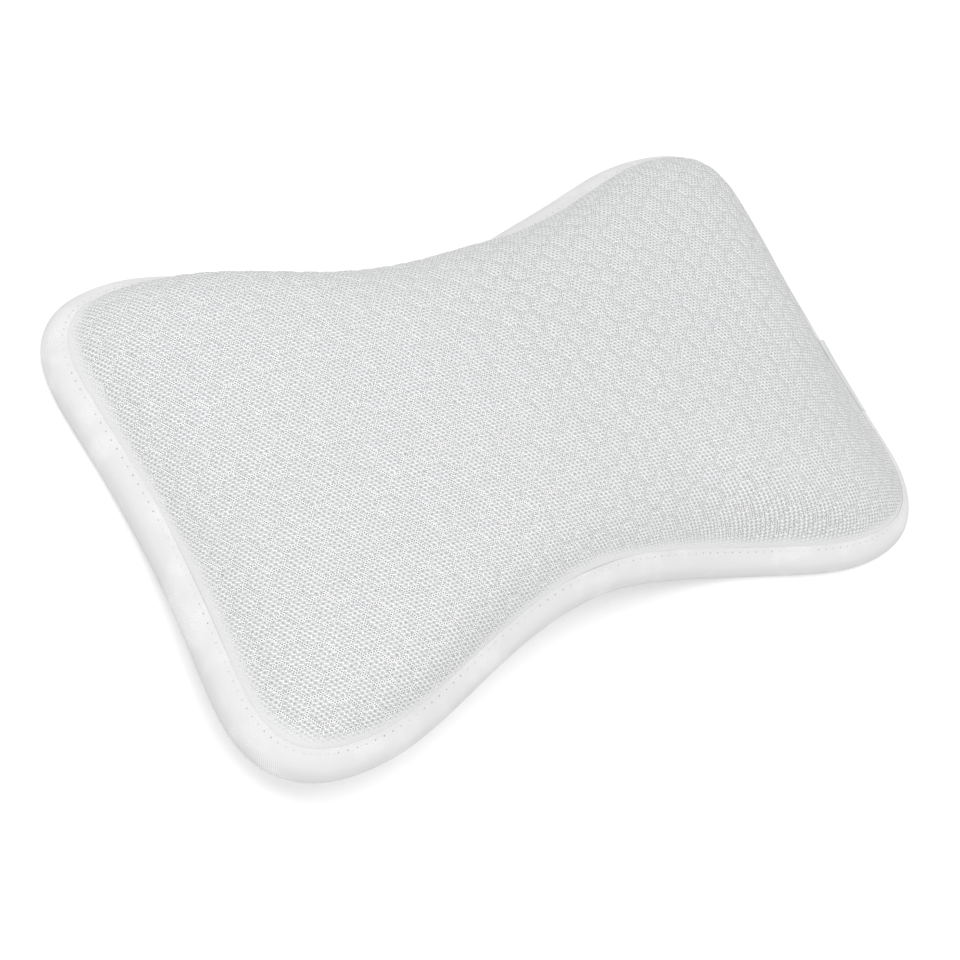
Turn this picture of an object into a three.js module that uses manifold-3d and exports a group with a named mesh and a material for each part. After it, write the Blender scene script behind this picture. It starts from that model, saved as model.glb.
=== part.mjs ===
// Bath pillow with a crowned spacer-mesh top, a bound edge and six suction cups underneath.
//
// Millimetres. +X runs along the pillow, +Y towards its back edge, +Z up from the surface it lies on.
// The origin is on that surface, under the middle of the pillow.
// The plan is the same on all four quarters: four round lobes, drawn-in long edges and nearly straight ends.

import * as THREE from 'three';
import { mergeVertices } from 'three/addons/utils/BufferGeometryUtils.js';
import Module from 'manifold-3d';

// Plan of the bound edge
const length = 380;
const depth = 242;
const waistDepth = 186;
const endLength = 371;
const crestX = 144;
const cheekY = 78;

// Handles of the plan's curves, as shares of the run each one spans
const waistHandleShare = 0.5;
const crestInnerHandleShare = 0.28;
const crestOuterHandleShare = 0.46;
const cheekOuterHandleShare = 0.84;
const cheekInnerHandleShare = 0.24;
const endHandleShare = 0.48;

// Height of the bound edge's nose above the surface the pillow lies on
const lobeEdgeHeight = 12;
const endEdgeHeight = 12;
const waistEdgeHeight = 22;

// Edge binding: a tape folded round the sewn edge, which droops outwards
const bindingThickness = 6;
const tapeThickness = 0.8;
const bindingReach = 11.5;
const bindingSlope = THREE.MathUtils.degToRad(41);

// Lap where the tape's folded end covers its start, on the right end, measured along Y
const lapStartY = -14;
const lapEndY = -54;
const lapThickness = 1.6;
const lapReachLoss = 0.6;

// Crown of the top cover above its sewn edge
const shoulderHeight = 20.5;
const shoulderReach = 12;
const shoulderRiseShare = 0.85;
const shoulderSpreadShare = 0.88;
const domeHeight = 16.3;
const domeRoundShare = 0.93;
const edgeFollowPower = 3;

// Oval that the crown's contours turn into towards the middle
const ovalLength = 340;
const ovalDepth = 176;
const ovalFadePower = 0.9;

// Spacer mesh of the covers
const topMeshThickness = 5;
const bottomMeshThickness = 5;
const insideBlendPower = 6;
const seamClearance = 0.3;
const fillingGap = 0.5;

// Flat underside panel
const panelHeight = 11;
const panelFlatShare = 0.8;
const panelRisePower = 2;

// Suction cups, in a lobe pair at each end and one pair at the waist
const cupRadius = 21;
const cupHeight = 9.2;
const cupWall = 2.4;
const cupLip = 0.9;
const cupSealWidth = 2.5;
const cupCrownRadius = 5.5;
const neckRadius = 3.2;
const headRadius = 6.5;
const headHeight = 2;
const headEdge = 0.6;
const tabReach = 7;
const tabWidth = 9;
const tabThickness = 1.3;
const lobeCupX = 118;
const lobeCupY = 58;
const waistCupY = 50;

// Straps that hold the cups' heads against the underside
const strapLength = 44;
const strapWidth = 26;
const strapThickness = 1.2;
const strapCorner = 3;
const strapHoleClearance = 0.3;

// Running gaps
const restGap = 0.3;
const headGap = 0.3;

// Facets, and the turns of the binding's fold in degrees
const waistFacets = 7;
const crestFacets = 5;
const endFacets = 4;
const cupFacets = 28;
const tabFacets = 6;
const recessFacets = 20;
const foldTurns = [-60, -30, 0, 30, 60];
const cutOverrun = 2;
const weldDistance = 1e-3;

// Shares of the way from the middle of the pillow to its sewn edge, at which the covers' rings lie
const crownShares = [0.16, 0.36, 0.54, 0.68, 0.8, 0.89, 0.95, 0.985];
const insideShares = [0.3, 0.6, 0.8, 0.92, 0.98];
const panelShares = [0.5, 0.8, 0.9, 0.96];

const halfLength = length / 2;
const halfDepth = depth / 2;
const halfWaist = waistDepth / 2;
const halfEnd = endLength / 2;
const noseRadius = bindingThickness / 2;
const flangeFace = noseRadius - tapeThickness - seamClearance;
const flangeGap = seamClearance / 2;
const flangeTip = seamClearance;
const mouth = bindingReach + seamClearance;

const finishes = {
  mesh: { color: 0xf1f1ef, roughness: 0.9 },
  binding: { color: 0xf4f4f2, roughness: 0.8 },
  filling: { color: 0xf7f6f2, roughness: 0.95 },
  cup: { color: 0xe9eef0, roughness: 0.15, transparent: true, opacity: 0.6 },
  strap: { color: 0xf2f2ef, roughness: 0.85 },
};

// Plan outline

// Samples one curve of the quarter outline: places and outward normals, without its last point.
function sampleCurve(start, startHandle, endHandle, end, facets) {
  const curve = new THREE.CubicBezierCurve(start, startHandle, endHandle, end);
  const samples = [];
  for (let i = 0; i < facets; i += 1) {
    const tangent = curve.getTangent(i / facets);
    samples.push({ place: curve.getPoint(i / facets), normal: new THREE.Vector2(-tangent.y, tangent.x) });
  }
  return samples;
}

// The quarter outline in +X, +Y, from the middle of the waist round the lobe to the middle of the end.
function quarterOutline() {
  const waist = new THREE.Vector2(0, halfWaist);
  const crest = new THREE.Vector2(crestX, halfDepth);
  const cheek = new THREE.Vector2(halfLength, cheekY);
  const end = new THREE.Vector2(halfEnd, 0);
  const lobeRun = halfLength - crestX;
  const lobeRise = halfDepth - cheekY;
  const waistHandle = new THREE.Vector2(waistHandleShare * crestX, halfWaist);
  const crestInner = new THREE.Vector2(crestX - crestInnerHandleShare * crestX, halfDepth);
  const crestOuter = new THREE.Vector2(crestX + crestOuterHandleShare * lobeRun, halfDepth);
  const cheekOuter = new THREE.Vector2(halfLength, cheekY + cheekOuterHandleShare * lobeRise);
  const cheekInner = new THREE.Vector2(halfLength, cheekY - cheekInnerHandleShare * cheekY);
  const endHandle = new THREE.Vector2(halfEnd, endHandleShare * cheekY);
  return [
    ...sampleCurve(waist, waistHandle, crestInner, crest, waistFacets),
    ...sampleCurve(crest, crestOuter, cheekOuter, cheek, crestFacets),
    ...sampleCurve(cheek, cheekInner, endHandle, end, endFacets),
    { place: end, normal: new THREE.Vector2(1, 0) },
  ];
}

function mirrored(sample, signX, signY) {
  return {
    place: new THREE.Vector2(sample.place.x * signX, sample.place.y * signY),
    normal: new THREE.Vector2(sample.normal.x * signX, sample.normal.y * signY),
  };
}

// The whole outline, anticlockwise from the middle of the right end.
function wholeOutline() {
  const quarter = quarterOutline();
  const reversed = [...quarter].reverse();
  return [
    ...reversed.slice(0, -1),
    ...quarter.slice(0, -1).map((s) => mirrored(s, -1, 1)),
    ...reversed.slice(0, -1).map((s) => mirrored(s, -1, -1)),
    ...quarter.slice(0, -1).map((s) => mirrored(s, 1, -1)),
  ];
}

// The nose's height waves between the lobes, the ends and the waist.
function edgeHeight(place) {
  const angle = Math.atan2(place.y, place.x);
  const between = (endEdgeHeight + waistEdgeHeight) / 2;
  const mean = (between + lobeEdgeHeight) / 2;
  const endWave = (endEdgeHeight - waistEdgeHeight) / 2;
  const lobeWave = (between - lobeEdgeHeight) / 2;
  return mean + endWave * Math.cos(2 * angle) + lobeWave * Math.cos(4 * angle);
}

const outline = wholeOutline();
const meanEdgeHeight = ((endEdgeHeight + waistEdgeHeight) / 2 + lobeEdgeHeight) / 2;

// A point of the section at one column, by its inset from the outline and its rise above the nose.
function sectionPoint(column, inset, rise) {
  return new THREE.Vector3(
    column.place.x - column.normal.x * inset,
    column.place.y - column.normal.y * inset,
    edgeHeight(column.place) + rise,
  );
}

// Inset and rise of a point that lies along the drooping edge from the nose's centre,
// and off its middle plane.
function edgeStrip(along, off) {
  return {
    inset: noseRadius + along * Math.cos(bindingSlope) - off * Math.sin(bindingSlope),
    rise: along * Math.sin(bindingSlope) + off * Math.cos(bindingSlope),
  };
}

function stripPoint(column, along, off) {
  const { inset, rise } = edgeStrip(along, off);
  return sectionPoint(column, inset, rise);
}

// Closed bodies from rings of points

function addTriangle(list, a, b, c) {
  list.push(a.x, a.y, a.z, b.x, b.y, b.z, c.x, c.y, c.z);
}

// Two closed rings of points joined by a band of facets, the second ring further along the profile.
function addBand(list, ring, next) {
  ring.forEach((point, i) => {
    const j = (i + 1) % ring.length;
    addTriangle(list, point, ring[j], next[j]);
    addTriangle(list, point, next[j], next[i]);
  });
}

function addFan(list, centre, ring, outwardUp) {
  ring.forEach((point, i) => {
    const following = ring[(i + 1) % ring.length];
    if (outwardUp) {
      addTriangle(list, centre, point, following);
    } else {
      addTriangle(list, centre, following, point);
    }
  });
}

function geometryOf(list) {
  const geometry = new THREE.BufferGeometry();
  geometry.setAttribute('position', new THREE.Float32BufferAttribute(list, 3));
  const merged = mergeVertices(geometry, weldDistance);
  merged.computeVertexNormals();
  return merged;
}

// A body from an upper centre point down through rings, outside first, to a lower centre point.
function bodyOfRings(upper, rings, lower) {
  const list = [];
  addFan(list, upper, rings[0], true);
  for (let i = 0; i + 1 < rings.length; i += 1) {
    addBand(list, rings[i + 1], rings[i]);
  }
  addFan(list, lower, rings[rings.length - 1], false);
  return geometryOf(list);
}

// A ring-shaped body whose section is a closed loop of rings.
function bodyOfLoop(rings) {
  const list = [];
  rings.forEach((ring, i) => addBand(list, rings[(i + 1) % rings.length], ring));
  return geometryOf(list);
}

// Crown of the top

// The oval's point on the ray from the middle to a column's place.
function ovalPoint(column) {
  const ray = column.place.clone().normalize();
  const halfLong = ovalLength / 2;
  const halfShort = ovalDepth / 2;
  const radius = (halfLong * halfShort) / Math.hypot(halfShort * ray.x, halfLong * ray.y);
  return ray.multiplyScalar(radius);
}

// Height of the crown at a share of the way from the middle of the pillow to its sewn edge.
function crownHeightAt(column, share) {
  const seam = edgeStrip(mouth, flangeFace);
  const lobing = share ** ovalFadePower;
  const radius = THREE.MathUtils.lerp(ovalPoint(column).length(), column.place.length(), lobing);
  const power = (radius / shoulderReach) ** shoulderSpreadShare;
  const follow = (edgeHeight(column.place) - meanEdgeHeight) * share ** edgeFollowPower;
  const shoulder = shoulderHeight * (1 - share ** power) ** shoulderRiseShare;
  const dome = domeHeight * (1 - share ** 2) ** domeRoundShare;
  return meanEdgeHeight + seam.rise + follow + shoulder + dome;
}

// The place in plan at a share of the way: on the oval's scale near the middle,
// on the drawn-in outline's at the edge.
function crownPlace(column, share, inset) {
  const edge = column.place.clone().addScaledVector(column.normal, -inset);
  return ovalPoint(column).lerp(edge, share ** ovalFadePower).multiplyScalar(share);
}

// A ring of the crown, drawn in by the wall and lowered by it away from the sewn edge, then lowered by a gap.
function crownRing(share, wall = 0, gap = 0) {
  const { inset } = edgeStrip(mouth, flangeFace);
  const fade = 1 - share ** insideBlendPower;
  return outline.map((column) => {
    const place = crownPlace(column, share, inset + wall + gap);
    return new THREE.Vector3(place.x, place.y, crownHeightAt(column, share) - wall * fade - gap);
  });
}

function crownCentre(drop = 0) {
  return new THREE.Vector3(0, 0, crownHeightAt(outline[0], 0) - drop);
}

// Underside

// Height of the underside at a share of the way from the middle to the sewn edge.
function undersideHeightAt(column, share) {
  const seam = edgeStrip(mouth, -flangeFace);
  const rise = edgeHeight(column.place) + seam.rise - panelHeight;
  const beyond = Math.max(0, (share - panelFlatShare) / (1 - panelFlatShare));
  return panelHeight + rise * beyond ** panelRisePower;
}

function undersideRing(share, wall = 0, gap = 0) {
  const { inset } = edgeStrip(mouth, -flangeFace);
  const fade = 1 - share ** insideBlendPower;
  return outline.map((column) => {
    const base = sectionPoint(column, inset + wall + gap, 0);
    const height = undersideHeightAt(column, share) + wall * fade + gap;
    return new THREE.Vector3(base.x * share, base.y * share, height);
  });
}

function undersideCentre(lift = 0) {
  return new THREE.Vector3(0, 0, panelHeight + lift);
}

function stripRing(along, off) {
  return outline.map((column) => stripPoint(column, along, off));
}

// Covers and filling

function topCover() {
  const rings = [
    ...crownShares.map((share) => crownRing(share)),
    stripRing(mouth, flangeFace),
    stripRing(flangeTip, flangeFace),
    stripRing(flangeTip, flangeGap),
    stripRing(mouth, flangeGap),
    crownRing(1, topMeshThickness),
    ...[...insideShares].reverse().map((share) => crownRing(share, topMeshThickness)),
  ];
  return bodyOfRings(crownCentre(), rings, crownCentre(topMeshThickness));
}

function fillingBody() {
  const edgeInset = edgeStrip(mouth, -flangeFace).inset + bottomMeshThickness + fillingGap;
  const rings = [
    ...insideShares.map((share) => crownRing(share, topMeshThickness, fillingGap)),
    outline.map((column) => sectionPoint(column, edgeInset, edgeStrip(mouth, 0).rise)),
    ...[...panelShares].reverse().map((share) => undersideRing(share, bottomMeshThickness, fillingGap)),
  ];
  const top = crownCentre(topMeshThickness + fillingGap);
  return bodyOfRings(top, rings, undersideCentre(bottomMeshThickness + fillingGap));
}

function bottomPanel() {
  const rings = [
    ...panelShares.map((share) => undersideRing(share, bottomMeshThickness)),
    undersideRing(1, bottomMeshThickness),
    stripRing(mouth, -flangeGap),
    stripRing(flangeTip, -flangeGap),
    stripRing(flangeTip, -flangeFace),
    stripRing(mouth, -flangeFace),
    ...[...panelShares].reverse().map((share) => undersideRing(share)),
  ];
  return bodyOfRings(undersideCentre(bottomMeshThickness), rings, undersideCentre());
}

// Edge binding and its lap

// The section of a tape folded round the edge, as pairs of along and off, anticlockwise.
function foldedSection(outer, inner, reach) {
  const turns = foldTurns.map((degrees) => THREE.MathUtils.degToRad(degrees));
  const outside = turns.map((turn) => [-outer * Math.cos(turn), outer * Math.sin(turn)]);
  const inside = turns.map((turn) => [-inner * Math.cos(turn), inner * Math.sin(turn)]);
  return [
    [reach, inner],
    [reach, outer],
    [0, outer],
    ...outside.reverse(),
    [0, -outer],
    [reach, -outer],
    [reach, -inner],
    [0, -inner],
    ...inside,
    [0, inner],
  ];
}

function edgeBinding() {
  const section = foldedSection(noseRadius, noseRadius - tapeThickness, bindingReach);
  return bodyOfLoop(section.map(([along, off]) => stripRing(along, off)));
}

// The outline's columns between two places on the right end, with the ends cut at those places.
function lapColumns() {
  const lower = outline.filter((column) => column.place.x > crestX && column.place.y <= 0);
  const start = columnAtY(lower, lapStartY);
  const end = columnAtY(lower, lapEndY);
  const between = lower.filter(({ place }) => place.y < lapStartY && place.y > lapEndY);
  between.sort((a, b) => a.place.y - b.place.y);
  return [end, ...between, start];
}

function columnAtY(columns, y) {
  const above = columns.filter((c) => c.place.y >= y).sort((a, b) => a.place.y - b.place.y)[0];
  const below = columns.filter((c) => c.place.y < y).sort((a, b) => b.place.y - a.place.y)[0];
  const share = (y - below.place.y) / (above.place.y - below.place.y);
  const column = {
    place: below.place.clone().lerp(above.place, share),
    normal: below.normal.clone().lerp(above.normal, share).normalize(),
  };
  return column;
}

function bindingLap() {
  const inner = noseRadius + seamClearance;
  const section = foldedSection(inner + lapThickness, inner, bindingReach - lapReachLoss);
  const columns = lapColumns();
  const list = [];
  const loops = columns.map((column) => section.map(([along, off]) => stripPoint(column, along, off)));
  for (let i = 0; i + 1 < loops.length; i += 1) {
    loops[i].forEach((point, k) => {
      const m = (k + 1) % section.length;
      addTriangle(list, point, loops[i + 1][m], loops[i + 1][k]);
      addTriangle(list, point, loops[i][m], loops[i + 1][m]);
    });
  }
  addCap(list, loops[0], section, false);
  addCap(list, loops[loops.length - 1], section, true);
  return geometryOf(list);
}

// Closes the end of a folded section.
function addCap(list, loop, section, forward) {
  const contour = section.map(([along, off]) => new THREE.Vector2(along, off));
  THREE.ShapeUtils.triangulateShape(contour, []).forEach(([a, b, c]) => {
    if (forward) {
      addTriangle(list, loop[a], loop[b], loop[c]);
    } else {
      addTriangle(list, loop[a], loop[c], loop[b]);
    }
  });
}

// Suction cups and straps

const strapTop = panelHeight - restGap;
const strapBottom = strapTop - strapThickness;
const headBase = strapTop + restGap;
const headTop = headBase + headHeight;
const recessRadius = headRadius + headGap;
const recessTop = headTop + headGap;
const strapHoleRadius = neckRadius + strapHoleClearance;

const cupPlaces = [
  [-lobeCupX, -lobeCupY],
  [-lobeCupX, lobeCupY],
  [0, -waistCupY],
  [0, waistCupY],
  [lobeCupX, -lobeCupY],
  [lobeCupX, lobeCupY],
].map(([x, y]) => new THREE.Vector3(x, y, 0));

// Half profile of a cup: seal face, bell, neck, mushroom head, and back down the inside of the bell.
function cupProfile() {
  const shoulderRadius = (cupRadius + cupCrownRadius) / 2;
  const insideTop = cupHeight - cupWall;
  const points = [
    [0, insideTop],
    [cupCrownRadius, insideTop - cupLip / 2],
    [shoulderRadius, insideTop / 2],
    [cupRadius - cupSealWidth, 0],
    [cupRadius, 0],
    [cupRadius, cupLip],
    [shoulderRadius + cupWall / 2, insideTop / 2 + cupWall / 2],
    [cupCrownRadius + cupWall / 2, cupHeight - cupLip / 2],
    [cupCrownRadius, cupHeight],
    [neckRadius, cupHeight],
    [neckRadius, headBase],
    [headRadius, headBase],
    [headRadius, headBase + headEdge],
    [headRadius - headEdge, headTop],
    [0, headTop],
  ];
  return points.map(([radius, height]) => new THREE.Vector2(radius, height));
}

const wasm = await Module();
wasm.setup();

function solidOf(geometry) {
  const bare = geometry.clone();
  bare.deleteAttribute('normal');
  bare.deleteAttribute('uv');
  const merged = mergeVertices(bare, weldDistance);
  const triVerts = new Uint32Array(merged.index.array);
  const vertProperties = new Float32Array(merged.attributes.position.array);
  return new wasm.Manifold(new wasm.Mesh({ numProp: 3, vertProperties, triVerts }));
}

function geometryOfSolid(solid) {
  const mesh = solid.getMesh();
  const geometry = new THREE.BufferGeometry();
  geometry.setAttribute('position', new THREE.BufferAttribute(mesh.vertProperties, 3));
  geometry.setIndex(new THREE.BufferAttribute(mesh.triVerts, 1));
  geometry.computeVertexNormals();
  return geometry;
}

// A flat tab at the cup's rim, by which its edge is lifted to let the air in.
function liftTab() {
  const inner = cupRadius - cupSealWidth;
  const outer = cupRadius + tabReach - tabWidth / 2;
  const shape = new THREE.Shape();
  shape.moveTo(inner, -tabWidth / 2);
  shape.lineTo(outer, -tabWidth / 2);
  shape.absarc(outer, 0, tabWidth / 2, -Math.PI / 2, Math.PI / 2, false);
  shape.lineTo(inner, tabWidth / 2);
  shape.closePath();
  const options = { depth: tabThickness, bevelEnabled: false, curveSegments: tabFacets };
  return new THREE.ExtrudeGeometry(shape, options);
}

function suctionCup() {
  const bell = new THREE.LatheGeometry(cupProfile(), cupFacets);
  bell.rotateX(Math.PI / 2);
  const cup = solidOf(bell).add(solidOf(liftTab()));
  return geometryOfSolid(cup);
}

function cupStrap() {
  const x = strapLength / 2;
  const y = strapWidth / 2;
  const shape = new THREE.Shape();
  shape.moveTo(-x + strapCorner, -y);
  shape.lineTo(x - strapCorner, -y);
  shape.lineTo(x, -y + strapCorner);
  shape.lineTo(x, y - strapCorner);
  shape.lineTo(x - strapCorner, y);
  shape.lineTo(-x + strapCorner, y);
  shape.lineTo(-x, y - strapCorner);
  shape.lineTo(-x, -y + strapCorner);
  shape.closePath();
  const hole = new THREE.Path();
  hole.absarc(0, 0, strapHoleRadius, 0, 2 * Math.PI, true);
  shape.holes.push(hole);
  const settings = { depth: strapThickness, bevelEnabled: false, curveSegments: recessFacets / 2 };
  return new THREE.ExtrudeGeometry(shape, settings);
}

// The bottom cover, pressed in over each cup's head.
function bottomCover() {
  const recessHeight = recessTop - panelHeight;
  let cover = solidOf(bottomPanel());
  cupPlaces.forEach((place) => {
    const cutHeight = recessHeight + cutOverrun;
    const tool = new THREE.CylinderGeometry(recessRadius, recessRadius, cutHeight, recessFacets);
    tool.rotateX(Math.PI / 2);
    tool.translate(place.x, place.y, recessTop - cutHeight / 2);
    cover = cover.subtract(solidOf(tool));
  });
  return geometryOfSolid(cover);
}

// Assembly

const pillow = new THREE.Group();

function addPiece(name, geometry, finish, place = new THREE.Vector3()) {
  const mesh = new THREE.Mesh(geometry, new THREE.MeshStandardMaterial({ metalness: 0, ...finish }));
  mesh.name = name;
  mesh.position.copy(place);
  pillow.add(mesh);
}

addPiece('top_cover', topCover(), finishes.mesh);
addPiece('bottom_cover', bottomCover(), finishes.mesh);
addPiece('filling', fillingBody(), finishes.filling);
addPiece('edge_binding', edgeBinding(), finishes.binding);
addPiece('binding_lap', bindingLap(), finishes.binding);

cupPlaces.forEach((place, i) => {
  const strapPlace = new THREE.Vector3(place.x, place.y, strapBottom);
  addPiece(`suction_cup_${i + 1}`, suctionCup(), finishes.cup, place);
  addPiece(`cup_strap_${i + 1}`, cupStrap(), finishes.strap, strapPlace);
});

export default pillow;
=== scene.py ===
"""A bath pillow: a crowned top of spacer mesh, a bound and stitched edge, and a mesh underside with six
suction cups in straps.

Metres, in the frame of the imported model: +X along the pillow, +Y to its back edge, +Z up from the floor.
"""

import bmesh
import bpy
import numpy as np
from mathutils import Matrix, Vector


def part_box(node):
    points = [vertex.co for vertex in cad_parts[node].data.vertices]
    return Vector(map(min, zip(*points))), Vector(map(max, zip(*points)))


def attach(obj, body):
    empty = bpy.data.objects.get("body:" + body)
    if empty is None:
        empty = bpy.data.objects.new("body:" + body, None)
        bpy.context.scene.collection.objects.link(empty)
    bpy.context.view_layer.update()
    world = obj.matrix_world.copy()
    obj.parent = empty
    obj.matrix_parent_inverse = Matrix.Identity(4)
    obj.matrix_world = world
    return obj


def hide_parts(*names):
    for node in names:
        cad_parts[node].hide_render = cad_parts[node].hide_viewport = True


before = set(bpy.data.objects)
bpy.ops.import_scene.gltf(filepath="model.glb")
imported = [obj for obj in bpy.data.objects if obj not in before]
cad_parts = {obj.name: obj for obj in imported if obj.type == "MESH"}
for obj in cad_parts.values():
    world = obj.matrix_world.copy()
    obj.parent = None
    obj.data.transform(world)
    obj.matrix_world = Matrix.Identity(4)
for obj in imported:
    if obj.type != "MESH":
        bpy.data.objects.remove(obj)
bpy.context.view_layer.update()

MM = 0.001
TURN = 2 * np.pi

# Plan of the bound edge
half_length = 190 * MM
half_depth = 121 * MM
half_waist = 93 * MM
half_end = 185.5 * MM
crest_x = 144 * MM
cheek_y = 78 * MM
waist_handle, crest_inner_handle, crest_outer_handle = 0.5, 0.28, 0.46
cheek_outer_handle, cheek_inner_handle, end_handle = 0.84, 0.24, 0.48

# Height of the edge's nose, and how the soft edge wanders from the even plan
lobe_nose, end_nose, waist_nose = 12 * MM, 12 * MM, 22 * MM
between_nose = (end_nose + waist_nose) / 2
mean_nose = (between_nose + lobe_nose) / 2
plan_wander = MM * np.array([
    [-0.57, -0.64], [-0.74, -0.82], [-1.05, -0.49], [-0.43, 0.04], [0.13, 0.18], [-0.17, 0.01], [-0.18, 0.04],
])
lift_wander = MM * np.array([[0.0, 0.0], [0.0, 6.1], [3.8, -0.15], [0.0, 0.84], [0.79, -0.17]])

# Places where the edge is tucked in or hangs lower: polar angle and half width in degrees, tuck, drop
tucks = (
    (76, 13, 3.0 * MM, 6.5 * MM), (106, 20, 3.0 * MM, 6.5 * MM),
    (38, 7, 1.6 * MM, 1.0 * MM), (131, 9, 1.3 * MM, 0.5 * MM), (149, 12, -1.0 * MM, 0.0),
)
lowest_nose, lowest_rounding = 5.0 * MM, 1 * MM

# Binding, which droops outwards round the sewn flange and curls down towards its nose
nose_radius = 3 * MM
tape = 0.8 * MM
clearance = 0.3 * MM
touch = 0.05 * MM
reach = 11.5 * MM
mouth = reach + touch
flange_face = nose_radius - tape - touch
slope = np.radians(41)
curl, curl_start = 17.0, 8 * MM
stitch_pitch = 4.4 * MM
stitch_inset = 1.8 * MM
stitch_sunk, stitch_bow = 0.42 * MM, 0.36 * MM
thread_radius, tack_radius, tack_length = 0.15 * MM, 0.2 * MM, 60 * MM
stitch_along = reach - stitch_inset

# Crown
shoulder_height, shoulder_reach = 20.5 * MM, 12 * MM
shoulder_rise, shoulder_spread = 0.85, 0.88
dome_height, dome_round = 16.3 * MM, 0.93
edge_follow = 3
tuck_follow = 40
wall_fade = 6
dent_angle, dent_width, dent_depth = 341, 13, 12.5 * MM
dent_rise, dent_fade = 5, 24
oval_half_length, oval_half_depth, oval_fade = 170 * MM, 88 * MM, 0.9

# Underside
panel_height = 11 * MM
panel_flat, panel_power = 0.8, 2
cover_thickness = 5 * MM


# Plan and sections


def curve(start, start_handle, end_handle, end, count=200):
    """One curve of the quarter plan: the cubic with its two handles, without its last point."""
    t = np.linspace(0, 1, count, endpoint=False)[:, None]
    points = [np.array(p, float) for p in (start, start_handle, end_handle, end)]
    weights = ((1 - t) ** 3, 3 * t * (1 - t) ** 2, 3 * t * t * (1 - t), t ** 3)
    return sum(w * p for w, p in zip(weights, points))


def quarter_plan():
    """The quarter outline from the middle of the waist round the lobe to the middle of the end."""
    before_crest = crest_x * (1 - crest_inner_handle)
    after_crest = crest_x + crest_outer_handle * (half_length - crest_x)
    before_cheek = cheek_y + cheek_outer_handle * (half_depth - cheek_y)
    after_cheek = cheek_y * (1 - cheek_inner_handle)
    waist, crest = (0, half_waist), (crest_x, half_depth)
    cheek, end = (half_length, cheek_y), (half_end, 0)
    return np.concatenate([
        curve(waist, (waist_handle * crest_x, half_waist), (before_crest, half_depth), crest),
        curve(crest, (after_crest, half_depth), (half_length, before_cheek), cheek),
        curve(cheek, (half_length, after_cheek), (half_end, end_handle * cheek_y), end),
        [end],
    ])


def whole_plan():
    """The closed outline anticlockwise from the right end, with its outward normals and polar angles."""
    quarter = quarter_plan()[::-1]
    back = np.concatenate([quarter, (quarter * [-1, 1])[::-1][1:]])
    whole = np.concatenate([back, (back * [1, -1])[::-1][1:-1]])
    ahead = np.roll(whole, -1, 0) - np.roll(whole, 1, 0)
    normal = np.column_stack([ahead[:, 1], -ahead[:, 0]])
    normal /= np.hypot(*normal.T)[:, None]
    return whole, normal, np.unwrap(np.arctan2(whole[:, 1], whole[:, 0]))


plan, plan_normal, plan_angle = whole_plan()


def round_the_plan(angle, values):
    """Values given at the outline's points, read at any polar angle."""
    return np.interp(np.mod(angle, TURN), plan_angle, values, period=TURN)


def waves(angle, pairs):
    """Sum of cosine and sine waves round the pillow, the first pair once round, the next twice, and so on."""
    return sum(c * np.cos(k * angle) + s * np.sin(k * angle) for k, (c, s) in enumerate(pairs, 1))


def bell_round(angle, middle, half_width):
    """A bell curve round the pillow: 1 at one polar angle and falling over a half width, both in degrees."""
    away = (np.mod(angle - np.radians(middle) + np.pi, TURN) - np.pi) / np.radians(half_width)
    return np.exp(-away ** 2)


def tucked(angle):
    """How far the edge is tucked in and dropped at a polar angle: a sum of bell curves."""
    bells = [bell_round(angle, middle, half_width) for middle, half_width, _, _ in tucks]
    return tuple(sum(bell * row[i] for bell, row in zip(bells, tucks)) for i in (2, 3))


def edge_at(angle):
    """Place (x, y), outward normal and nose height of the bound edge at a polar angle: the plan and a mean
    height, with waves round the pillow added, and never below the lowest nose."""
    normal = np.stack([round_the_plan(angle, plan_normal[:, i]) for i in (0, 1)], -1)
    normal /= np.linalg.norm(normal, axis=-1, keepdims=True)
    place = np.stack([round_the_plan(angle, plan[:, i]) for i in (0, 1)], -1)
    inwards, down = tucked(angle)
    place = place + normal * (waves(angle, plan_wander) - inwards)[..., None]
    ends_up, lobes_down = (end_nose - waist_nose) / 2, (between_nose - lobe_nose) / 2
    height = mean_nose + ends_up * np.cos(2 * angle) + lobes_down * np.cos(4 * angle)
    above = height + waves(angle, lift_wander) - down - lowest_nose
    return place, normal, lowest_nose + (above + np.hypot(above, lowest_rounding)) / 2


def edge_strip(along, off):
    """Inset and rise of a point that lies along the edge from its nose's centre, and off its middle plane.
    The edge droops outwards at the slope, and curls down by a square law towards its nose."""
    drop = curl * np.clip(curl_start - along, 0, None) ** 2
    inset = nose_radius + along * np.cos(slope) - off * np.sin(slope) + drop / 2
    return inset, along * np.sin(slope) + off * np.cos(slope) - drop


def strip_points(angle, along, off):
    """Points of the edge's section at polar angles, given along the droop and off its middle plane."""
    place, normal, height = edge_at(angle)
    inset, rise = edge_strip(along, off)
    flat = place - normal * np.asarray(inset)[..., None]
    return np.concatenate([flat, (height + rise)[..., None]], -1)


def edge_angles(count):
    """Polar angles of points spaced evenly along the bound edge, and the distance of each along it."""
    angle = np.linspace(0, TURN, 4001)
    place, _, height = edge_at(angle)
    path = np.concatenate([place, height[:, None]], -1)
    run = np.concatenate([[0], np.cumsum(np.linalg.norm(np.diff(path, axis=0), axis=-1))])
    even = np.linspace(0, run[-1], count, endpoint=False)
    return np.interp(even, run, angle), even, run[-1]


edge_run = edge_angles(8)[2]
stitch_count = int(round(edge_run / stitch_pitch))
stitch_step = edge_run / stitch_count
puckers = 27


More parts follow.
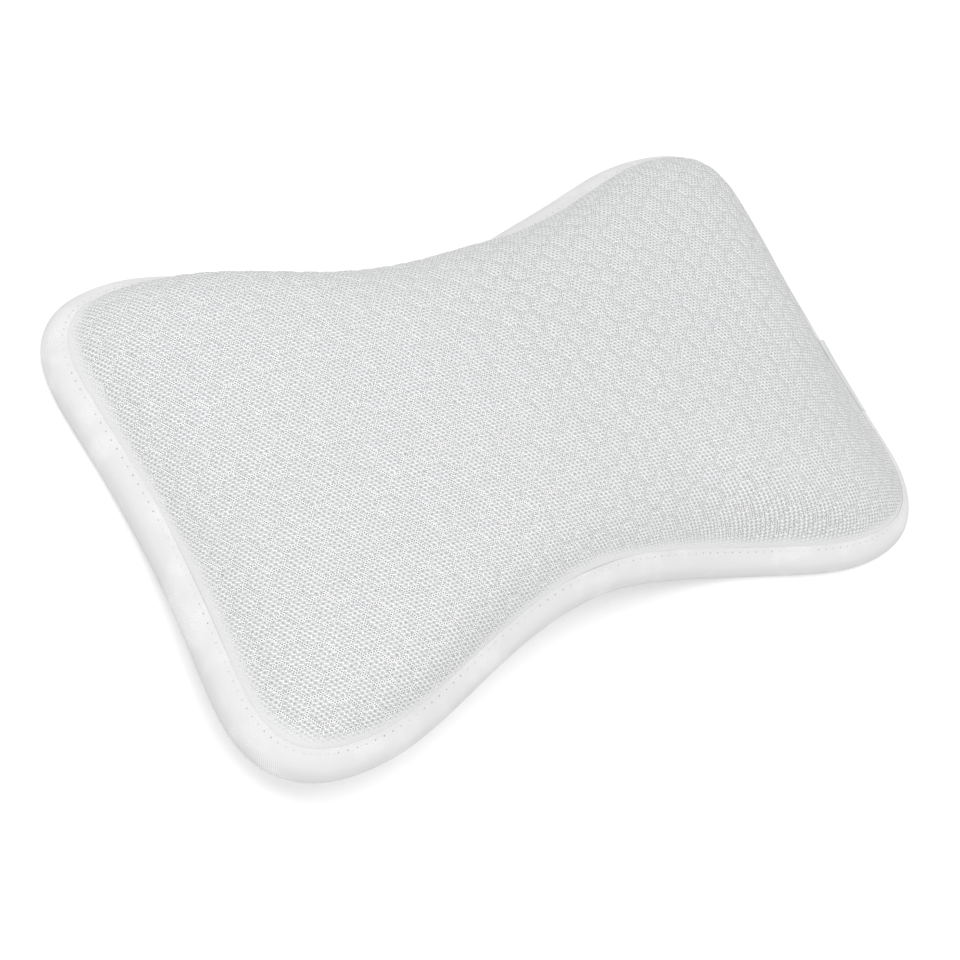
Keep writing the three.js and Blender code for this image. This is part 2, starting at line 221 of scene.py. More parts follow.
def crown_points(angle, share, wall=0.0, lower=0.0):
    """The crown: its plan goes from an oval in the middle to the lobed edge, and its height is a dome and a
    shoulder that fall to the seam. The edge's tucks and drops pull it along only close to the seam."""
    place, normal, nose = edge_at(angle)
    inwards, down = tucked(angle)
    follows = share ** tuck_follow
    nose = nose + down * (1 - follows)
    inset, rise = edge_strip(mouth, flange_face)
    edge = place - normal * (inset + wall - inwards * (1 - follows))[..., None]
    ray = np.stack([np.cos(angle), np.sin(angle)], -1)
    oval_scale = np.hypot(oval_half_depth * ray[..., 0], oval_half_length * ray[..., 1])
    oval_radius = oval_half_length * oval_half_depth / oval_scale
    lobing = share ** oval_fade
    radius = oval_radius * (1 - lobing) + np.hypot(place[..., 0], place[..., 1]) * lobing
    flat = (ray * (oval_radius * (1 - lobing))[..., None] + edge * lobing[..., None]) * share[..., None]
    power = (radius / shoulder_reach) ** shoulder_spread
    shoulder = shoulder_height * (1 - share ** power) ** shoulder_rise
    dome = dome_height * (1 - share ** 2) ** dome_round
    height = mean_nose + rise + (nose - mean_nose) * share ** edge_follow + shoulder + dome
    dent = bell_round(angle, dent_angle, dent_width) * share ** dent_rise * (1 - share ** dent_fade)
    height = height - dent_depth * dent - wall * (1 - share ** wall_fade) - lower
    return np.concatenate([flat, height[..., None]], -1)


def underside_points(angle, share, wall=0.0, lift=0.0):
    """The underside: a flat panel that curves up to the seam over its outer fifth."""
    place, normal, nose = edge_at(angle)
    inset, rise = edge_strip(mouth, -flange_face)
    flat = (place - normal * (inset + wall)) * share[..., None]
    beyond = np.clip((share - panel_flat) / (1 - panel_flat), 0, 1)
    height = panel_height + (nose + rise - panel_height) * beyond ** panel_power
    height = height + wall * (1 - share ** wall_fade) + lift
    return np.concatenate([flat, height[..., None]], -1)


# Meshes


def grid_faces(rows, columns, close_rows=False, close_columns=False, start=0):
    """Four-sided faces of a grid of points numbered row by row from start."""
    i = np.arange(rows if close_rows else rows - 1)
    j = np.arange(columns if close_columns else columns - 1)
    i, j = np.meshgrid(i, j, indexing="ij")
    a, b = start + i * columns + j, start + i * columns + (j + 1) % columns
    up = ((i + 1) % rows) * columns
    c, d = start + up + (j + 1) % columns, start + up + j
    return np.stack([a, b, c, d], -1).reshape(-1, 4)


def fan_faces(ring, centre):
    """Triangles from a closed ring of point numbers to one centre point."""
    return np.stack([ring, np.roll(ring, -1), np.full(len(ring), centre)], -1)


def make_piece(name, points, face_sets, material, smooth=True):
    """A mesh object from points and arrays of three- or four-sided faces, at the origin."""
    mesh = bpy.data.meshes.new(name)
    loops = np.concatenate([f.reshape(-1) for f in face_sets]).astype(np.int32)
    sizes = np.concatenate([np.full(len(f), f.shape[1]) for f in face_sets]).astype(np.int32)
    mesh.vertices.add(len(points))
    mesh.vertices.foreach_set("co", np.asarray(points, np.float32).reshape(-1))
    mesh.loops.add(len(loops))
    mesh.loops.foreach_set("vertex_index", loops)
    mesh.polygons.add(len(sizes))
    mesh.polygons.foreach_set("loop_start", np.concatenate([[0], np.cumsum(sizes)[:-1]]).astype(np.int32))
    mesh.polygons.foreach_set("loop_total", sizes)
    mesh.update(calc_edges=True)
    mesh.validate()
    if smooth:
        mesh.polygons.foreach_set("use_smooth", np.ones(len(sizes), bool))
    mesh.materials.append(material)
    piece = bpy.data.objects.new(name, mesh)
    bpy.context.scene.collection.objects.link(piece)
    return piece


def point_value(piece, name, values):
    """A named number at each point, which the materials read."""
    attribute = piece.data.attributes.new(name, "FLOAT", "POINT")
    attribute.data.foreach_set("value", np.asarray(values, np.float32).reshape(-1))


def cloth_map(piece, flat, girth=None):
    """UV map in metres of flat cloth, from a pair of numbers at each point. On a piece of four-sided faces
    that closes on itself, the faces that close it run on past its girth."""
    layer = piece.data.uv_layers.new(name="cloth")
    loops = np.empty(len(piece.data.loops), np.int32)
    piece.data.loops.foreach_get("vertex_index", loops)
    corners = np.asarray(flat, float)[loops]
    if girth:
        along = corners[:, 0].reshape(-1, 4)
        closing = np.ptp(along, axis=1, keepdims=True) > girth / 2
        corners[:, 0] = np.where(closing & (along < girth / 2), along + girth, along).reshape(-1)
    layer.data.foreach_set("uv", corners.astype(np.float32).reshape(-1))


def face_outwards(piece):
    """Turns a closed piece's faces outwards where its volume comes out negative."""
    mesh = piece.data
    mesh.calc_loop_triangles()
    corners = np.empty(len(mesh.loop_triangles) * 3, np.int32)
    mesh.loop_triangles.foreach_get("vertices", corners)
    points = np.empty(len(mesh.vertices) * 3, np.float32)
    mesh.vertices.foreach_get("co", points)
    a, b, c = points.reshape(-1, 3)[corners.reshape(-1, 3)].transpose(1, 0, 2).astype(float)
    if (a * np.cross(b, c)).sum() < 0:
        mesh.flip_normals()
    return piece


def square_to_round(columns, rows, edge_density=0.45):
    """A square grid laid on a round, denser at its edge: share of the way to the edge, and polar angle."""
    def spread(count):
        t = np.linspace(-1, 1, count)
        return (1 - edge_density) * t + edge_density * np.sin(t * np.pi / 2)
    x, y = np.meshgrid(spread(columns), spread(rows))
    across, up = x * np.sqrt(1 - y * y / 2), y * np.sqrt(1 - x * x / 2)
    share = np.clip(np.hypot(across, up), 0, 1)
    angle = np.arctan2(up * half_depth, across * half_length)
    return share, angle


def rim_numbers(columns, rows):
    """Point numbers round the rim of a grid, anticlockwise from its first point."""
    numbers = np.arange(columns * rows).reshape(rows, columns)
    return np.concatenate([numbers[0, :-1], numbers[:-1, -1], numbers[-1, :0:-1], numbers[:0:-1, 0]])


# Node building


class Finish:
    """Builds one material's nodes; numbers and sockets may be mixed in its sums."""

    def __init__(self, name):
        self.material = bpy.data.materials.new(name)
        self.material.use_nodes = True
        self.tree = self.material.node_tree
        self.shader = self.tree.nodes["Principled BSDF"]

    def node(self, kind, **settings):
        found = self.tree.nodes.new(kind)
        for key, value in settings.items():
            setattr(found, key, value)
        return found

    def feed(self, socket, value):
        if isinstance(value, bpy.types.NodeSocket):
            self.tree.links.new(value, socket)
        else:
            socket.default_value = value

    def sum(self, operation, *values):
        found = self.node("ShaderNodeMath", operation=operation)
        for socket, value in zip(found.inputs, values):
            self.feed(socket, value)
        return found.outputs[0]

    def split(self, vector):
        """The first two parts of a vector."""
        found = self.node("ShaderNodeSeparateXYZ")
        self.feed(found.inputs[0], vector)
        return found.outputs[0], found.outputs[1]

    def cloth(self):
        """The two directions of the flat cloth, in metres."""
        return self.split(self.node("ShaderNodeUVMap", uv_map="cloth").outputs[0])

    def value(self, name):
        return self.node("ShaderNodeAttribute", attribute_name=name).outputs["Fac"]

    def ramp(self, value, low, high, to_low=0.0, to_high=1.0):
        """A soft step from one value to another."""
        found = self.node("ShaderNodeMapRange", interpolation_type="SMOOTHSTEP")
        for socket, number in zip(found.inputs, (value, low, high, to_low, to_high)):
            self.feed(socket, number)
        return found.outputs[0]

    def place(self):
        """Place in the frame, in metres."""
        return self.node("ShaderNodeTexCoord").outputs["Object"]

    def speckle(self, scale, detail=2.0, roughness=0.5):
        """Smooth noise from 0 to 1, mostly near 0.5."""
        found = self.node("ShaderNodeTexNoise")
        self.feed(found.inputs["Vector"], self.place())
        found.inputs["Scale"].default_value = scale
        found.inputs["Detail"].default_value = detail
        found.inputs["Roughness"].default_value = roughness
        return found.outputs["Fac"]

    def wander(self, size, *speckle):
        """Noise either side of 0, scaled to a size."""
        return self.sum("MULTIPLY", self.sum("SUBTRACT", self.speckle(*speckle), 0.5), size)

    def wave(self, x, y, per_x, per_y):
        """Cosine of a plane wave, from its repeats per metre in the cloth's two directions."""
        phase = self.sum("ADD", self.sum("MULTIPLY", x, TURN * per_x), self.sum("MULTIPLY", y, TURN * per_y))
        return self.sum("COSINE", phase)

    def blend(self, share, first, second):
        found = self.node("ShaderNodeMix", data_type="RGBA")
        self.feed(found.inputs["Factor"], share)
        self.feed(found.inputs[6], first)
        self.feed(found.inputs[7], second)
        return found.outputs[2]

    def coat(self, base, roughness, sheen=0.0):
        """Colour, roughness and sheen of the shader."""
        self.feed(self.shader.inputs["Base Color"], base)
        self.feed(self.shader.inputs["Roughness"], roughness)
        self.shader.inputs["Sheen Weight"].default_value = sheen

    def bump(self, height, distance, strength):
        found = self.node("ShaderNodeBump")
        found.inputs["Distance"].default_value = distance
        found.inputs["Strength"].default_value = strength
        self.feed(found.inputs["Height"], height)
        self.feed(self.shader.inputs["Normal"], found.outputs[0])


def colour(red, green, blue):
    """A written colour, 0 to 255, as the linear value a shader takes."""
    c = np.array([red, green, blue]) / 255
    linear = np.where(c <= 0.04045, c / 12.92, ((c + 0.055) / 1.055) ** 2.4)
    return (*(float(v) for v in linear), 1.0)


# Knit of the spacer mesh: three thread waves, each with its repeats per metre in the cloth's two directions
# and its share, and the size of the large six-sided cells
hole_waves = ((481.0, 278.0, 1.1), (56.0, 638.0, 1.03), (-425.0, 360.0, 0.87))
cell_width, cell_height = 8.6 * MM, 11.5 * MM
# Levels of the thread waves at which a hole, its painted shadow spot and the close knit's ticks begin and are
# full, the distances from a cell's line over which its parts fade, and the places along which its core goes
# from painted light at the left to painted shade at the right and deepens towards the back
hole_levels, shadow_spot_levels, tick_levels = (-1.1, -0.7), (1.2, 2.6), (-0.7, 0.7)
line_fades, painted_core_fades, pressing_fades = (0.04, 0.14), (0.015, 0.06), (0.0, 0.2)
lit_to_shaded_span, shade_deepens_to_back = (-75 * MM, 5 * MM), (-90 * MM, 60 * MM)


def cell_edge(x, y):
    """Distance of flat cloth points from the nearest line of the large cells, 0.87 at a cell's middle."""
    p = np.stack([x / cell_width * 1.5, y / cell_height * np.sqrt(3)], -1)
    repeat = np.array([3, np.sqrt(3)])
    first = np.mod(p, repeat) - repeat / 2
    second = np.mod(p + repeat / 2, repeat) - repeat / 2
    near = np.where((first ** 2).sum(-1, keepdims=True) < (second ** 2).sum(-1, keepdims=True), first, second)
    across, up = np.abs(near[..., 0]), np.abs(near[..., 1])
    return np.sqrt(3) / 2 - np.maximum(up, across * np.sqrt(3) / 2 + up / 2)


def knit_level(f, x, y, finer):
    """Sum of the three thread waves: 3 in the middle of a hole, about -1.5 on the threads round it."""
    first, second, third = (
        f.sum("MULTIPLY", f.wave(x, y, finer * per_x, finer * per_y), share)
        for per_x, per_y, share in hole_waves)
    return f.sum("ADD", f.sum("ADD", first, second), third)


def cell_distance(f, x, y):
    """The distance of cell_edge, in a material: the larger of those from the two sets of cell middles."""
    middle_x, middle_y = 1.5, np.sqrt(3) / 2
    found = []
    for shift in (0, 1):
        across = f.sum("MULTIPLY_ADD", x, 1.5 / cell_width, shift * middle_x)
        up = f.sum("MULTIPLY_ADD", y, np.sqrt(3) / cell_height, shift * middle_y)
        across = f.sum("ABSOLUTE", f.sum("WRAP", across, middle_x, -middle_x))
        up = f.sum("ABSOLUTE", f.sum("WRAP", up, middle_y, -middle_y))
        slanted = f.sum("MULTIPLY_ADD", across, np.sqrt(3) / 2, f.sum("MULTIPLY", up, 0.5))
        found.append(f.sum("SUBTRACT", np.sqrt(3) / 2, f.sum("MAXIMUM", up, slanted)))
    return f.sum("MAXIMUM", *found)


def mesh_finish(name, cells):
    """White knitted mesh: thin bright threads round small six-sided holes painted grey as shade, each with a
    painted shadow spot off its middle. Along the large cells' lines the knitting is close, speckled with
    painted shade in its fine gaps, and pressed in, with a thin core of painted light and shade, lighter at
    the left end and darker towards the right.
    All the holes close near the seam."""
    f = Finish(name)
    x, y = f.cloth()
    rough = f.wander(2.3, 1500.0, 2.0, 0.6)
    level = f.sum("ADD", knit_level(f, x, y, 1.0), rough)
    aside, upwards = f.wander(1.5 * MM, 330.0, 1.0), f.wander(1.5 * MM, 370.0, 1.0)
    shadow_spot_level = knit_level(f, f.sum("ADD", x, aside), f.sum("ADD", y, upwards), 1.0)
    hole = f.ramp(level, *hole_levels)
    shadow_spot = f.sum("MULTIPLY", hole, f.ramp(shadow_spot_level, *shadow_spot_levels))
    thread = f.blend(f.speckle(26.0), colour(251, 251, 251), colour(254, 254, 254))
    # Painted shade: the holes are painted grey for the shade inside them, and a darker shadow spot is painted
    # off each hole's middle.
    knit = f.blend(shadow_spot, f.blend(hole, thread, colour(207, 208, 209)), colour(168, 169, 172))
    plain = f.value("plain")
    height = f.sum("MULTIPLY", hole, f.sum("SUBTRACT", plain, 1.0))
    if cells:
        distance = cell_distance(f, x, y)
        line = f.ramp(distance, *line_fades, 1.0, 0.0)
        tick_level = f.sum("ADD", knit_level(f, x, y, 2.0), f.sum("MULTIPLY", rough, 0.6))
        # Painted shade: the close knit's fine gaps are painted dark, as shade in them.
        knit = f.blend(line, knit, f.blend(f.ramp(tick_level, *tick_levels), thread, colour(140, 141, 143)))
        # Painted light and shade on the cells' lines: a thin core painted lighter at the left end and darker
        # at the right, more strongly towards the right and the back.
        along, back = f.split(f.place())
        strength = f.ramp(along, *lit_to_shaded_span, 0.08, 0.38)
        strength = f.sum("MULTIPLY", strength, f.ramp(back, *shade_deepens_to_back, 0.5, 1.0))
        lit_and_shaded_core = f.sum("MULTIPLY", f.ramp(distance, *painted_core_fades, 1.0, 0.0), strength)
        knit = f.blend(lit_and_shaded_core, knit, f.blend(f.ramp(along, *lit_to_shaded_span), thread, colour(165, 166, 169)))
        pressed = f.ramp(distance, *pressing_fades, -1.2, 0.0)
        pressed = f.sum("MULTIPLY", pressed, f.sum("SUBTRACT", 1.0, plain))
        height = f.sum("ADD", f.sum("MULTIPLY", height, f.sum("MULTIPLY_ADD", line, -0.6, 1.0)), pressed)
    f.coat(f.blend(plain, knit, colour(227, 227, 228)), 0.86, 0.12)
    f.bump(f.sum("ADD", f.sum("MULTIPLY", f.speckle(2600.0, 3.0, 0.6), 0.25), height), 0.35 * MM, 0.8)
    return f.material


def tape_finish(name):
    """White knitted tape: rows of small light loops, clearer in some places than in others, painted shade
    that darkens it towards its nose, and needle holes on the stitch line, one at each end of a stitch and
    some darker than others."""
    f = Finish(name)
    x, y = f.cloth()
    turns = f.sum("DIVIDE", x, stitch_step)
    from_hole = f.sum("MULTIPLY", f.sum("PINGPONG", turns, 0.5), stitch_step)
    off_line = f.value("off_stitches")
    hole = f.sum("SUBTRACT", 1.0, f.ramp(f.sum("ADD", from_hole, off_line), 0.15 * MM, 0.55 * MM))
    hole = f.sum("MULTIPLY", hole, f.ramp(f.speckle(70.0), 0.4, 0.6, 0.3, 1.0))
    loops = f.sum("MULTIPLY", f.wave(x, y, 880.0, 240.0), f.wave(x, y, -200.0, 900.0))
    grain = f.ramp(f.sum("ADD", loops, f.wander(0.8, 900.0, 2.0, 0.6)), -0.7, 0.8)
    raised = f.sum("MULTIPLY", grain, f.ramp(f.speckle(45.0), 0.46, 0.66, 0.15, 1.0))
    inner_tape = f.blend(f.speckle(18.0), colour(219, 219, 219), colour(225, 225, 225))
    # Painted shade: the tape is painted darker towards its nose, where it turns down away from the light, and
    # all over its inside and the lap.
    base = f.blend(f.ramp(off_line, 5.5 * MM, 11 * MM), inner_tape, colour(212, 212, 213))
    f.coat(f.blend(hole, f.blend(raised, base, colour(246, 246, 246)), colour(150, 150, 153)), 0.8, 0.1)
    f.bump(f.sum("ADD", raised, f.sum("MULTIPLY", f.speckle(3000.0, 3.0, 0.6), 0.3)), 0.12 * MM, 0.8)
    return f.material


def thread_finish(name):
    """White twisted thread, with its lay as fine slanting lines."""
    f = Finish(name)
    x, y = f.cloth()
    twist = f.wave(x, y, 1800.0, 900.0)
    f.coat(f.blend(f.ramp(twist, -1.0, 1.0), colour(226, 226, 226), colour(246, 246, 246)), 0.6)
    f.bump(twist, 0.05 * MM, 0.8)
    return f.material


def foam_finish(name):
    """Off-white foam with fine open pores."""
    f = Finish(name)
    pores = f.ramp(f.speckle(700.0, 4.0, 0.7), 0.35, 0.6)
    f.coat(f.blend(pores, colour(214, 211, 203), colour(244, 242, 236)), 0.95)
    f.bump(pores, 0.6 * MM, 0.7)
    return f.material


def webbing_finish(name):
    """White woven webbing: ribs along it, crossed by finer weft."""
    f = Finish(name)
    x, y = f.cloth()
    ribs, weft = f.wave(x, y, 0.0, 520.0), f.wave(x, y, 900.0, 0.0)
    weave = f.sum("ADD", f.sum("MULTIPLY", ribs, 0.6), f.sum("MULTIPLY", f.sum("MULTIPLY", ribs, weft), 0.4))
    base = f.blend(f.ramp(weave, -1.0, 1.0), colour(216, 216, 214), colour(242, 242, 240))
    f.coat(f.blend(f.value("needle"), base, colour(196, 196, 196)), 0.75)
    f.bump(weave, 0.25 * MM, 0.8)
    return f.material


def cup_finish(name):
    """Clear soft plastic, faintly clouded and streaked."""
    f = Finish(name)
    cloud = f.speckle(90.0)
    f.coat(f.blend(cloud, colour(236, 242, 244), colour(248, 250, 251)), f.ramp(cloud, 0.3, 0.8, 0.06, 0.16))
    f.shader.inputs["Transmission Weight"].default_value = 0.5
    f.shader.inputs["Alpha"].default_value = 0.8
    f.shader.inputs["IOR"].default_value = 1.47
    f.bump(f.speckle(220.0), 0.1 * MM, 0.3)
    return f.material


top_mesh = mesh_finish("spacer_mesh_top", True)
under_mesh = mesh_finish("spacer_mesh_under", False)
tape_knit = tape_finish("knit_tape")
sewing_thread = thread_finish("sewing_thread")
foam = foam_finish("foam")
webbing = webbing_finish("webbing")
clear_plastic = cup_finish("clear_soft_plastic")


# Top cover


def flat_cloth(surface, share, angle, shares=240, angles=720):
    """Flat cloth coordinates of a surface: each step out from the middle keeps its length on the surface and
    its heading in plan, and the points between are read off that table."""
    s = np.linspace(0, 1, shares)
    t = np.linspace(-np.pi, np.pi, angles)
    s_grid, t_grid = np.meshgrid(s, t, indexing="ij")
    step = np.diff(surface(t_grid, s_grid), axis=0)
    heading = step[..., :2] / np.maximum(np.linalg.norm(step[..., :2], axis=-1, keepdims=True), 1e-9)
    out = np.cumsum(heading * np.linalg.norm(step, axis=-1, keepdims=True), 0)
    out = np.concatenate([np.zeros((1, angles, 2)), out])
    i = np.clip(share, 0, 1) * (shares - 1)
    j = (angle + np.pi) / TURN * (angles - 1)
    i0, j0 = np.minimum(i.astype(int), shares - 2), np.minimum(j.astype(int), angles - 2)
    a, b = (i - i0)[..., None], (j - j0)[..., None]
    low = out[i0, j0] * (1 - b) + out[i0, j0 + 1] * b
    high = out[i0 + 1, j0] * (1 - b) + out[i0 + 1, j0 + 1] * b
    return low * (1 - a) + high * a


def surface_normals(points):
    """Unit normals of a grid of points."""
    across = np.gradient(points, axis=1)
    up = np.gradient(points, axis=0)
    normal = np.cross(across, up)
    return normal / np.maximum(np.linalg.norm(normal, axis=-1, keepdims=True), 1e-12)


def soft_step(value, low, high):
    """0 below the low value, 1 above the high one, and a smooth cubic between."""
    t = np.clip((value - low) / (high - low), 0, 1)
    return t * t * (3 - 2 * t)


def band_width(angle):
    """Width of the band beside the seam where the holes close: widest at the left front, and uneven."""
    uneven = 0.6 * np.cos(7 * angle) + 0.5 * np.cos(11 * angle + 1) + 0.3 * np.cos(29 * angle)
    return MM * (3.5 + 1.4 * np.cos(angle - np.radians(240)) + uneven)


def closed_cover(name, surface, columns, rows, relief, inner_shares, flange_side, material):
    """A cover: its outer surface on a square-to-round grid, the flange that goes into the binding, and an
    inner wall of rings, a cover's thickness from the outer surface."""
    share, angle = square_to_round(columns, rows)
    outer = surface(angle, share)
    flat = flat_cloth(surface, share, angle)
    outer = relief(outer, flat, share)
    rim = rim_numbers(columns, rows)
    rim_angle = angle.reshape(-1)[rim]
    flange = ((clearance * 2, flange_face), (clearance * 2, clearance / 2), (mouth, clearance / 2))
    rings = [strip_points(rim_angle, along, flange_side * off) for along, off in flange]
    rings += [surface(rim_angle, np.full(len(rim), s), cover_thickness) for s in (1.0, *inner_shares)]
    middle = surface(np.zeros(1), np.zeros(1), cover_thickness)
    points = np.concatenate([outer.reshape(-1, 3), *rings, middle])
    count, ring = columns * rows, len(rim)
    first_ring = count + np.arange(ring)
    last_ring = first_ring + (len(rings) - 1) * ring
    faces = [
        grid_faces(rows, columns),
        np.stack([rim, np.roll(rim, -1), np.roll(first_ring, -1), first_ring], -1)[:, ::-1],
        grid_faces(len(rings), ring, close_columns=True, start=count)[:, ::-1],
        fan_faces(last_ring, len(points) - 1)[:, ::-1],
    ]
    piece = make_piece(name, points, faces, material)
    rim_flat = flat.reshape(-1, 2)[rim]
    extra = np.concatenate([np.tile(rim_flat, (len(rings), 1)), np.zeros((1, 2))])
    cloth_map(piece, np.concatenate([flat.reshape(-1, 2), extra]))
    seam_distance = (1 - share) * np.linalg.norm(edge_at(angle)[0], axis=-1)
    plain = 1 - soft_step(seam_distance, 0.3 * MM, band_width(angle))
    point_value(piece, "plain", np.concatenate([plain.reshape(-1), np.ones(len(points) - count)]))
    return face_outwards(piece)


def top_relief(outer, flat, share):
    """Raises each large cell into a low mound, which fades at the seam."""
    mound = soft_step(cell_edge(flat[..., 0], flat[..., 1]), 0.0, 0.45)
    fade = soft_step((1 - share) * np.hypot(outer[..., 0], outer[..., 1]), 1 * MM, 6 * MM)
    return outer + surface_normals(outer) * (0.4 * MM * (mound - 1) * fade)[..., None]


top_cover = closed_cover(
    "mesh_top_cover", crown_points, 366, 234, top_relief, (0.98, 0.92, 0.8, 0.6, 0.3), 1, top_mesh)
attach(top_cover, "pillow")
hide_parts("top_cover")


# Underside

cup_nodes = sorted(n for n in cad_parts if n.startswith("suction_cup"))
cup_boxes = [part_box(node) for node in cup_nodes]
cup_centres = np.array([(low.x + (high.y - low.y) / 2, (low.y + high.y) / 2) for low, high in cup_boxes])
head_radius = 6.5 * MM
recess_rise, recess_gap, recess_shoulder = 2.3 * MM, 0.3 * MM, 4 * MM


def under_relief(outer, flat, share):
    """Presses the underside in over each cup's head, with a soft shoulder round it."""
    away = np.linalg.norm(outer[..., None, :2] - cup_centres, axis=-1).min(-1)
    press = 1 - soft_step(away, head_radius + recess_gap, head_radius + recess_shoulder)
    lifted = outer.copy()
    lifted[..., 2] += recess_rise * press
    return lifted


under_cover = closed_cover(
    "mesh_under_cover", underside_points, 260, 170, under_relief, (0.96, 0.9, 0.8, 0.5), -1, under_mesh)
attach(under_cover, "pillow")
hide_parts("bottom_cover")


# Filling


def filling_pad():
    """Foam block inside the covers: crown rings above and underside rings below, with a gap to the covers."""
    gap = 0.5 * MM
    angle = np.linspace(0, TURN, 240, endpoint=False)
    around = np.ones(len(angle))
    upper = [
        crown_points(angle, around * s, cover_thickness + gap, gap)
        for s in (0.15, 0.3, 0.45, 0.6, 0.72, 0.82, 0.9, 0.95, 0.98)
    ]
    inset, _ = edge_strip(mouth, -flange_face)
    place, normal, nose = edge_at(angle)
    side = place - normal * (inset + cover_thickness + gap)
    middle = np.concatenate([side, (nose + edge_strip(mouth, 0.0)[1])[:, None]], -1)
    lower = [
        underside_points(angle, around * s, cover_thickness, gap) for s in (0.96, 0.9, 0.8, 0.5, 0.25)
    ]
    rings = np.stack([*upper, middle, *lower])
    top = crown_points(np.zeros(1), np.zeros(1), cover_thickness, gap)
    bottom = underside_points(np.zeros(1), np.zeros(1), cover_thickness, gap)
    points = np.concatenate([rings.reshape(-1, 3), top, bottom])
    ring = np.arange(len(angle))
    last = (len(rings) - 1) * len(angle)
    faces = [
        grid_faces(len(rings), len(angle), close_columns=True),
        fan_faces(ring, len(points) - 2)[:, ::-1], fan_faces(last + ring, len(points) - 1),
    ]
    return face_outwards(make_piece("foam_filling", points, faces, foam))


filling = filling_pad()
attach(filling, "pillow")
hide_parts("filling")


# Binding, lap and stitches


def tape_section(outer, inner, length):
    """Section of the folded tape as rows of along, off and side, where side is 1 outside and 0 inside: two
    flats joined by a half round at the nose, with rounded lips."""
    lip = np.linspace(-np.pi / 2, np.pi / 2, 7)
    across, out = np.sin(lip), np.cos(lip)
    middle, half = (outer + inner) / 2, (outer - inner) / 2
    upper_lip = np.stack([length + half * out, middle + half * across, 0.5 + 0.5 * across], -1)
    flat = np.sort(np.concatenate([np.linspace(0, length, 20)[1:-1], [stitch_along]]))[::-1]
    upper = np.stack([flat, flat * 0 + outer, flat * 0 + 1], -1)
    turn = np.linspace(np.pi / 2, -np.pi / 2, 13)
    nose = np.stack([-outer * np.cos(turn), outer * np.sin(turn), turn * 0 + 1], -1)
    lower = upper[::-1] * [1, -1, 1]
    lower_lip = upper_lip[::-1] * [1, -1, 1]
    flat_in = np.linspace(length, 0, 3)[1:-1]
    inside_low = np.stack([flat_in, flat_in * 0 - inner, flat_in * 0], -1)
    turn_in = np.linspace(-np.pi / 2, np.pi / 2, 5)
    inside_nose = np.stack([-inner * np.cos(turn_in), inner * np.sin(turn_in), turn_in * 0], -1)
    inside_up = inside_low[::-1] * [1, -1, 1]
    return np.concatenate([upper_lip, upper, nose, lower, lower_lip, inside_low, inside_nose, inside_up])


# The sewn tape: how far it swells between its nose and its stitches, thins to its inner edge, and is drawn
# in along the stitch line and at each needle hole
swell, swell_change, inner_thinning = 0.7 * MM, 0.15 * MM, 0.4 * MM
groove_width, groove_depth, hole_pull = 0.7 * MM, 0.05 * MM, 0.2 * MM


def tape_off(along, off, side, run):
    """Off of the tape's outside once sewn: pulled in at each needle hole, full between them and the nose,
    and thin at its inner edge."""
    groove = np.exp(-((along - stitch_along) / groove_width) ** 2)
    pull = (0.5 + 0.5 * np.cos(TURN * run * stitch_count / edge_run)) ** 6
    fullness = np.clip(np.sin(np.clip(along / stitch_along, 0, 1) * np.pi), 0, 1)
    thin = soft_step(along, stitch_along, reach)
    swelling = swell + swell_change * np.cos(TURN * run * puckers / edge_run)
    change = fullness * swelling - inner_thinning * thin - groove * (groove_depth + hole_pull * pull)
    return off + np.sign(off) * side * change


def round_section(section):
    """Distance of each of a section's points round it, from the first."""
    return np.concatenate([[0], np.cumsum(np.hypot(np.diff(section[:, 0]), np.diff(section[:, 1])))])


def edge_tape():
    """The binding: the folded section carried round the edge, with its inner edge a little uneven."""
    angle, run, _ = edge_angles(5 * stitch_count)
    section = tape_section(nose_radius, nose_radius - tape, reach)
    along, off, side = (section[:, i][:, None] for i in range(3))
    uneven = 0.22 * MM * waves(angle * 5, [[0.6, 0.3], [0.2, -0.5], [-0.3, 0.4]])
    along_here = along + uneven * np.clip(along / reach, 0, 1) ** 2
    off_here = tape_off(along, off, side, run[None, :])
    all_angles = np.broadcast_to(angle, off_here.shape)
    points = strip_points(all_angles, along_here, off_here)
    rows, columns = off_here.shape
    faces = [grid_faces(rows, columns, True, True)]
    piece = make_piece("edge_binding_tape", points.reshape(-1, 3), faces, tape_knit)
    flat = np.stack(np.broadcast_arrays(run[None, :], round_section(section)[:, None]), -1)
    cloth_map(piece, flat.reshape(-1, 2), edge_run)
    # Off the stitches outside and the full reach inside: the tape finish paints shade by this, darker towards
    # the nose and all over the inside.
    off_line = np.where(side > 0.9, np.abs(along - stitch_along), reach)
    point_value(piece, "off_stitches", np.broadcast_to(off_line, off_here.shape))
    return face_outwards(piece)


binding = edge_tape()
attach(binding, "pillow")
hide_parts("edge_binding")


def thread_faces(lengths, steps, sides):
    """Faces of several lengths of thread, each a tube of rings with flat closed ends."""
    tube = grid_faces(steps, sides, close_columns=True)
    first, last = np.arange(sides), (steps - 1) * sides + np.arange(sides)
    ends = np.concatenate([fan_faces(first, first[1])[1:-1][:, ::-1], fan_faces(last, last[1])[1:-1]])
    offset = (np.arange(lengths) * steps * sides)[:, None, None]
    return [(offset + tube).reshape(-1, 4), (offset + ends).reshape(-1, 3)]


